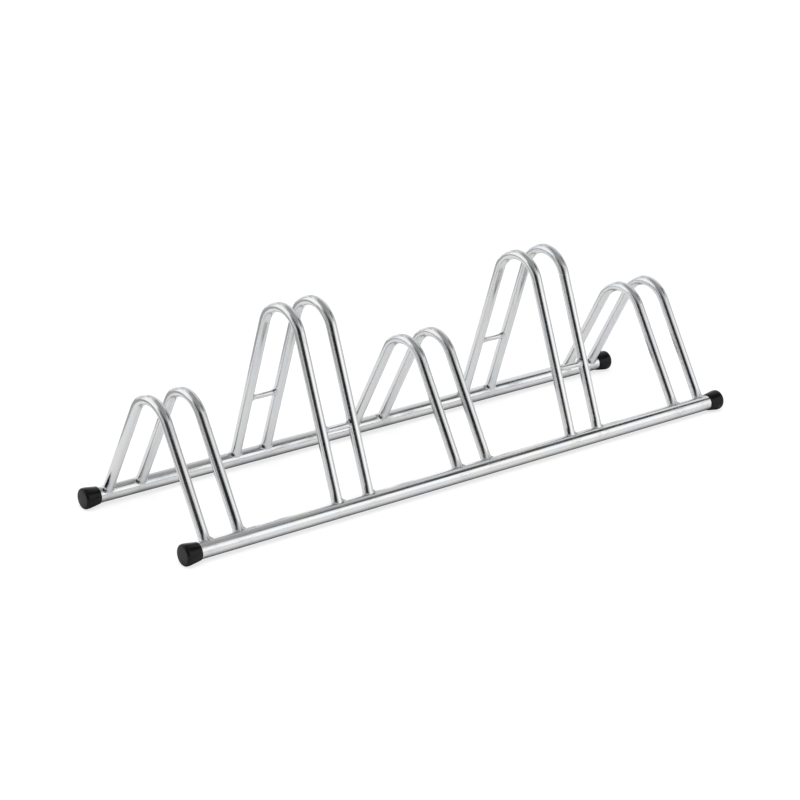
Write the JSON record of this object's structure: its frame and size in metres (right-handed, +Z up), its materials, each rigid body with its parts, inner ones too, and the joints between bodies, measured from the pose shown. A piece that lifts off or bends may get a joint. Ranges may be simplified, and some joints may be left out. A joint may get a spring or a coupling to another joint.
{
  "type": "bicycle rack",
  "caption": "Floor-standing bicycle rack of zinc-plated steel tube: paired inverted-V hoops, low and high in turn, welded across two floor rails with rubber end caps.",
  "frame": {"origin": "on the floor, under the middle of the rack's length and depth", "axes": "+X along the rails from the left end to the right end as seen from the front, +Y from the front rail to the rear rail, +Z up"},
  "size_m": [1.292, 0.3676, 0.3668],
  "materials": {
    "rail_zinc": "bright zinc plating on drawn round steel tube, faint lengthwise drawing lines",
    "hoop_zinc": "bright zinc plating on bent round steel tube, brushed patches on the bends, satin weld beads at the feet",
    "rod_zinc": "bright zinc plating on thin round steel rod, welded at both ends",
    "cap_rubber": "matte black moulded rubber, end face slightly lighter from handling"
  },
  "bodies": {
    "root": {"rail_front": "rail_zinc", "rail_rear": "rail_zinc", "hoop_1_left": "hoop_zinc", "hoop_1_right": "hoop_zinc", "hoop_2_left": "hoop_zinc", "hoop_2_right": "hoop_zinc", "hoop_3_left": "hoop_zinc", "hoop_3_right": "hoop_zinc", "hoop_4_left": "hoop_zinc", "hoop_4_right": "hoop_zinc", "hoop_5_left": "hoop_zinc", "hoop_5_right": "hoop_zinc", "wheel_rest_rod_2_front": "rod_zinc", "wheel_rest_rod_2_rear": "rod_zinc", "wheel_rest_rod_4_front": "rod_zinc", "wheel_rest_rod_4_rear": "rod_zinc", "end_cap_front_left": "cap_rubber", "end_cap_front_right": "cap_rubber", "end_cap_rear_left": "cap_rubber", "end_cap_rear_right": "cap_rubber"}
  },
  "joints": []
}
